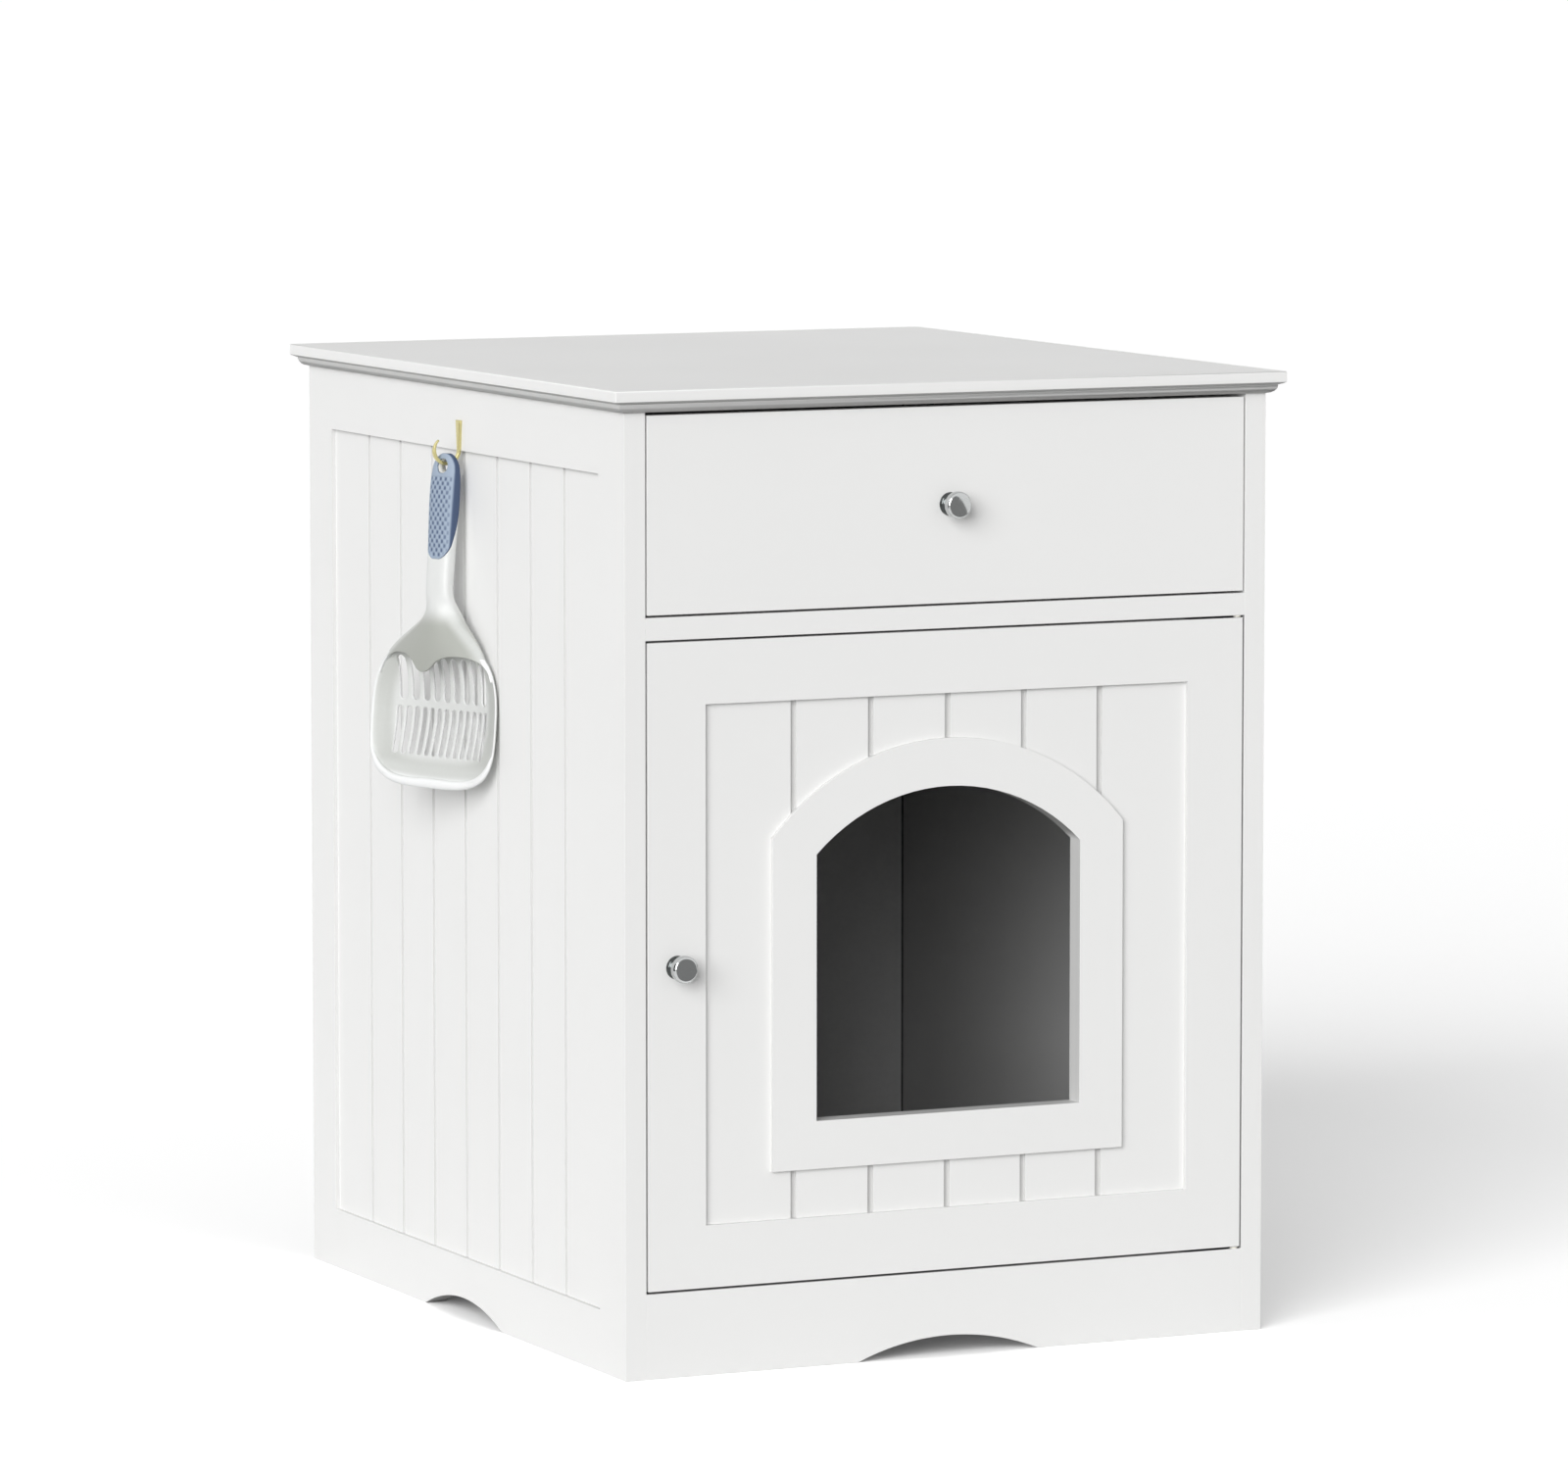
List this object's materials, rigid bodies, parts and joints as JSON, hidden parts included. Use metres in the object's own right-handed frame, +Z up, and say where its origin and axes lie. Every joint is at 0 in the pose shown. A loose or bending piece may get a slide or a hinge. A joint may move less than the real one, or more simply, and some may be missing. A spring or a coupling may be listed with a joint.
{
  "type": "cat litter box cabinet",
  "caption": "White board cabinet that hides a cat litter tray, with an arched entrance in its hinged door, a drawer above, and a litter scoop on a side hook",
  "frame": {"origin": "middle of the rear kick rail's lower face, on the floor and on the cabinet's mid plane", "axes": "+X to the right seen from the front, +Y to the back, +Z up"},
  "size_m": [0.5269, 0.5675, 0.649],
  "materials": {
    "white_paint": "fibreboard with a smooth white satin paint",
    "inner_board": "fibreboard and hardboard with a plain light grey inner face",
    "polished_chrome": "polished chrome plate",
    "zinc_steel": "bright zinc plated steel",
    "runner_enamel": "white epoxy coated steel",
    "nylon": "white nylon",
    "brass": "plain satin brass",
    "ferrite": "dark ferrite",
    "scoop_plastic": "moulded off-white plastic with a soft gloss",
    "grip_rubber": "blue-grey moulded soft rubber with a dimpled face"
  },
  "bodies": {
    "cabinet": {"apron_cam_left": "zinc_steel", "apron_cam_right": "zinc_steel", "back_panel": "inner_board", "bottom_cam_left_front": "zinc_steel", "bottom_cam_left_rear": "zinc_steel", "bottom_cam_right_front": "zinc_steel", "bottom_cam_right_rear": "zinc_steel", "bottom_panel": "inner_board", "catch_magnet": "ferrite", "front_apron": "white_paint", "left_cabinet_runner": "runner_enamel", "left_side_panel": "white_paint", "lower_fixed_leaf": "zinc_steel", "lower_pivot_pin": "zinc_steel", "lower_pivot_washer": "nylon", "magnet_catch_case": "nylon", "mid_shelf": "white_paint", "rail_cam_left": "zinc_steel", "rail_cam_right": "zinc_steel", "rear_kick_rail": "inner_board", "right_cabinet_runner": "runner_enamel", "right_side_panel": "white_paint", "scoop_hook": "brass", "shelf_cam_left_front": "zinc_steel", "shelf_cam_left_rear": "zinc_steel", "shelf_cam_right_front": "zinc_steel", "shelf_cam_right_rear": "zinc_steel", "top_cam_left_front": "zinc_steel", "top_cam_left_rear": "zinc_steel", "top_cam_right_front": "zinc_steel", "top_cam_right_rear": "zinc_steel", "top_panel": "white_paint", "upper_fixed_leaf": "zinc_steel", "upper_pivot_pin": "zinc_steel", "upper_pivot_washer": "nylon"},
    "drawer": {"drawer_front": "white_paint", "drawer_left_side": "white_paint", "drawer_right_side": "white_paint", "drawer_back": "white_paint", "drawer_bottom": "inner_board", "drawer_knob": "polished_chrome", "drawer_knob_screw": "zinc_steel", "drawer_cam_left": "zinc_steel", "drawer_cam_right": "zinc_steel", "left_drawer_runner": "runner_enamel", "right_drawer_runner": "runner_enamel"},
    "door": {"door_panel": "white_paint", "door_knob": "polished_chrome", "door_knob_screw": "zinc_steel", "lower_door_leaf": "zinc_steel", "upper_door_leaf": "zinc_steel", "strike_plate": "zinc_steel", "strike_screw": "zinc_steel"},
    "left_cabinet_roller": {"left_cabinet_roller": "nylon"},
    "right_cabinet_roller": {"right_cabinet_roller": "nylon"},
    "left_drawer_roller": {"left_drawer_roller": "nylon"},
    "right_drawer_roller": {"right_drawer_roller": "nylon"},
    "scoop": {"scoop_body": "scoop_plastic", "scoop_grip": "grip_rubber"}
  },
  "joints": [
    {"name": "drawer_slide", "type": "slide", "parent": "cabinet", "child": "drawer", "axis": [0, -1, 0], "range_m": [0, 0.3]},
    {"name": "door_hinge", "type": "hinge", "parent": "cabinet", "child": "door", "pos_m": [0.2155, -0.5125, 0.271], "axis": [0, 0, 1], "range_deg": [0, 100]},
    {"name": "scoop_swing", "type": "hinge", "parent": "cabinet", "child": "scoop", "pos_m": [-0.245, -0.24475, 0.5822], "axis": [1, 0, 0], "range_deg": [-12, 12]},
    {"name": "left_cabinet_roller_spin", "type": "hinge", "parent": "cabinet", "child": "left_cabinet_roller", "pos_m": [-0.2137, -0.4855, 0.5157], "axis": [1, 0, 0], "continuous": true},
    {"name": "right_cabinet_roller_spin", "type": "hinge", "parent": "cabinet", "child": "right_cabinet_roller", "pos_m": [0.2137, -0.4855, 0.5157], "axis": [1, 0, 0], "continuous": true},
    {"name": "left_drawer_roller_spin", "type": "hinge", "parent": "drawer", "child": "left_drawer_roller", "pos_m": [-0.2137, -0.1135, 0.5133], "axis": [1, 0, 0], "continuous": true},
    {"name": "right_drawer_roller_spin", "type": "hinge", "parent": "drawer", "child": "right_drawer_roller", "pos_m": [0.2137, -0.1135, 0.5133], "axis": [1, 0, 0], "continuous": true}
  ],
  "couplings": [
    {"joint": "left_cabinet_roller_spin", "follows": "drawer_slide", "rad_per_m": 111.11},
    {"joint": "right_cabinet_roller_spin", "follows": "drawer_slide", "rad_per_m": 111.11},
    {"joint": "left_drawer_roller_spin", "follows": "drawer_slide", "rad_per_m": 111.11},
    {"joint": "right_drawer_roller_spin", "follows": "drawer_slide", "rad_per_m": 111.11}
  ]
}
